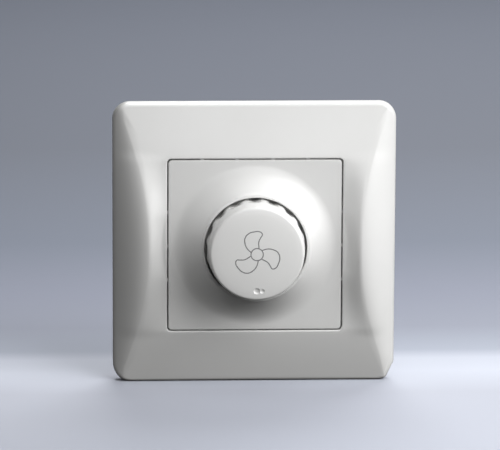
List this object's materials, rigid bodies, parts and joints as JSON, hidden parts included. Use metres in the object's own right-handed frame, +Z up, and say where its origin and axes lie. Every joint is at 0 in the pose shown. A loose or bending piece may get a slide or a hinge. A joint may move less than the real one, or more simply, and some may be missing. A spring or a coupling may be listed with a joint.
{
  "type": "flush fan speed control",
  "caption": "Flush wall control for a fan's speed: square frame with raised side wings, square plate with a flared dome, round knob, and the insert that fits in a round wall box.",
  "frame": {"origin": "on the knob's axis, at the wall's surface, which is the plane of the frame's and the strap's rear faces", "axes": "+Y into the wall, so that the face looks along -Y; +Z up; +X to the right of someone who looks at the face"},
  "size_m": [0.082, 0.0422, 0.082],
  "materials": {
    "white_thermoplastic": "satin to gloss white",
    "dark_grey_insulating_plastic": "matt moulded",
    "natural_polyamide": "matt moulded",
    "black_epoxy": "matt moulded",
    "resistor_lacquer": "lacquered",
    "blue_plastic": "moulded",
    "film_capacitor_lacquer": "lacquered",
    "circuit_laminate": "phenolic paper laminate",
    "fuse_glass": "clear",
    "ferrite": "matt sintered",
    "enamelled_copper": "enamelled wire",
    "zinc_plated_steel": "zinc plated",
    "spring_steel": "rolled",
    "nickel_plated_brass": "nickel plated",
    "tinned_copper": "tin plated",
    "aluminium": "plain"
  },
  "bodies": {
    "insert": {"outer_frame": "white_thermoplastic", "centre_plate": "white_thermoplastic", "plate_nut": "nickel_plated_brass", "strap_nut": "nickel_plated_brass", "lock_washer": "spring_steel", "support_strap": "zinc_plated_steel", "carrier_plate": "zinc_plated_steel", "housing_shell": "dark_grey_insulating_plastic", "circuit_board": "circuit_laminate", "pot_bushing": "nickel_plated_brass", "pot_can": "zinc_plated_steel", "pot_track": "circuit_laminate", "pot_pin_1": "tinned_copper", "pot_pin_2": "tinned_copper", "pot_pin_3": "tinned_copper", "switch_can": "zinc_plated_steel", "triac": "black_epoxy", "heat_sink": "aluminium", "triac_screw": "zinc_plated_steel", "x_capacitor": "black_epoxy", "choke_core": "ferrite", "choke_winding": "enamelled_copper", "fuse_tube": "fuse_glass", "fuse_wire": "tinned_copper", "fuse_cap_1": "tinned_copper", "fuse_cap_2": "tinned_copper", "fuse_clip_1": "spring_steel", "fuse_clip_2": "spring_steel", "resistor_1": "resistor_lacquer", "resistor_2": "resistor_lacquer", "diac": "fuse_glass", "timing_capacitor": "film_capacitor_lacquer", "trimmer_body": "blue_plastic", "terminal_block": "natural_polyamide", "terminal_tongue_1": "tinned_copper", "terminal_tongue_2": "tinned_copper", "terminal_tongue_3": "tinned_copper", "claw_pin_left": "zinc_plated_steel", "claw_pin_right": "zinc_plated_steel", "rivet_top": "zinc_plated_steel", "rivet_bottom": "zinc_plated_steel"},
    "knob_and_shaft": {"knob": "white_thermoplastic", "knob_clip": "spring_steel", "pot_shaft": "aluminium", "pot_wiper": "spring_steel", "switch_cam": "natural_polyamide"},
    "rocker": {"switch_rocker": "spring_steel"},
    "trimmer": {"trimmer_rotor": "natural_polyamide"},
    "left_claw": {"claw_left": "zinc_plated_steel"},
    "right_claw": {"claw_right": "zinc_plated_steel"},
    "left_claw_screw": {"claw_screw_left": "zinc_plated_steel"},
    "right_claw_screw": {"claw_screw_right": "zinc_plated_steel"},
    "cage_1": {"terminal_cage_1": "zinc_plated_steel"},
    "cage_2": {"terminal_cage_2": "zinc_plated_steel"},
    "cage_3": {"terminal_cage_3": "zinc_plated_steel"},
    "wire_screw_1": {"terminal_screw_1": "zinc_plated_steel"},
    "wire_screw_2": {"terminal_screw_2": "zinc_plated_steel"},
    "wire_screw_3": {"terminal_screw_3": "zinc_plated_steel"}
  },
  "joints": [
    {"name": "knob_turn", "type": "hinge", "parent": "insert", "child": "knob_and_shaft", "pos_m": [0, 0, 0], "axis": [0, 1, 0], "range_deg": [0, 300]},
    {"name": "switch_snap", "type": "hinge", "parent": "insert", "child": "rocker", "pos_m": [-0.0065, 0.0096, 0], "axis": [0, 1, 0], "range_deg": [0, 20]},
    {"name": "trimmer_turn", "type": "hinge", "parent": "insert", "child": "trimmer", "pos_m": [-0.0124, 0.0092, 0.0159], "axis": [0, 1, 0], "range_deg": [0, 270]},
    {"name": "left_claw_screw_turn", "type": "hinge", "parent": "insert", "child": "left_claw_screw", "pos_m": [-0.0254, 0, 0], "axis": [0, 1, 0], "range_deg": [0, 807]},
    {"name": "right_claw_screw_turn", "type": "hinge", "parent": "insert", "child": "right_claw_screw", "pos_m": [0.0254, 0, 0], "axis": [0, 1, 0], "range_deg": [0, 807]},
    {"name": "left_claw_swing", "type": "hinge", "parent": "insert", "child": "left_claw", "pos_m": [-0.022, 0.0034, 0], "axis": [0, 0, 1], "range_deg": [0, 20]},
    {"name": "right_claw_swing", "type": "hinge", "parent": "insert", "child": "right_claw", "pos_m": [0.022, 0.0034, 0], "axis": [0, 0, -1], "range_deg": [0, 20]},
    {"name": "wire_screw_1_turn", "type": "hinge", "parent": "insert", "child": "wire_screw_1", "pos_m": [-0.009, 0.0129, -0.016], "axis": [0, -1, 0], "range_deg": [0, 1440]},
    {"name": "wire_screw_2_turn", "type": "hinge", "parent": "insert", "child": "wire_screw_2", "pos_m": [0, 0.0129, -0.016], "axis": [0, -1, 0], "range_deg": [0, 1440]},
    {"name": "wire_screw_3_turn", "type": "hinge", "parent": "insert", "child": "wire_screw_3", "pos_m": [0.009, 0.0129, -0.016], "axis": [0, -1, 0], "range_deg": [0, 1440]},
    {"name": "cage_1_slide", "type": "slide", "parent": "insert", "child": "cage_1", "axis": [0, 1, 0], "range_m": [0, 0.002]},
    {"name": "cage_2_slide", "type": "slide", "parent": "insert", "child": "cage_2", "axis": [0, 1, 0], "range_m": [0, 0.002]},
    {"name": "cage_3_slide", "type": "slide", "parent": "insert", "child": "cage_3", "axis": [0, 1, 0], "range_m": [0, 0.002]}
  ],
  "couplings": [
    {"joint": "left_claw_screw_turn", "follows": "left_claw_swing", "ratio": 40.3},
    {"joint": "right_claw_screw_turn", "follows": "right_claw_swing", "ratio": 40.3},
    {"joint": "wire_screw_1_turn", "follows": "cage_1_slide", "rad_per_m": 12566},
    {"joint": "wire_screw_2_turn", "follows": "cage_2_slide", "rad_per_m": 12566},
    {"joint": "wire_screw_3_turn", "follows": "cage_3_slide", "rad_per_m": 12566}
  ]
}
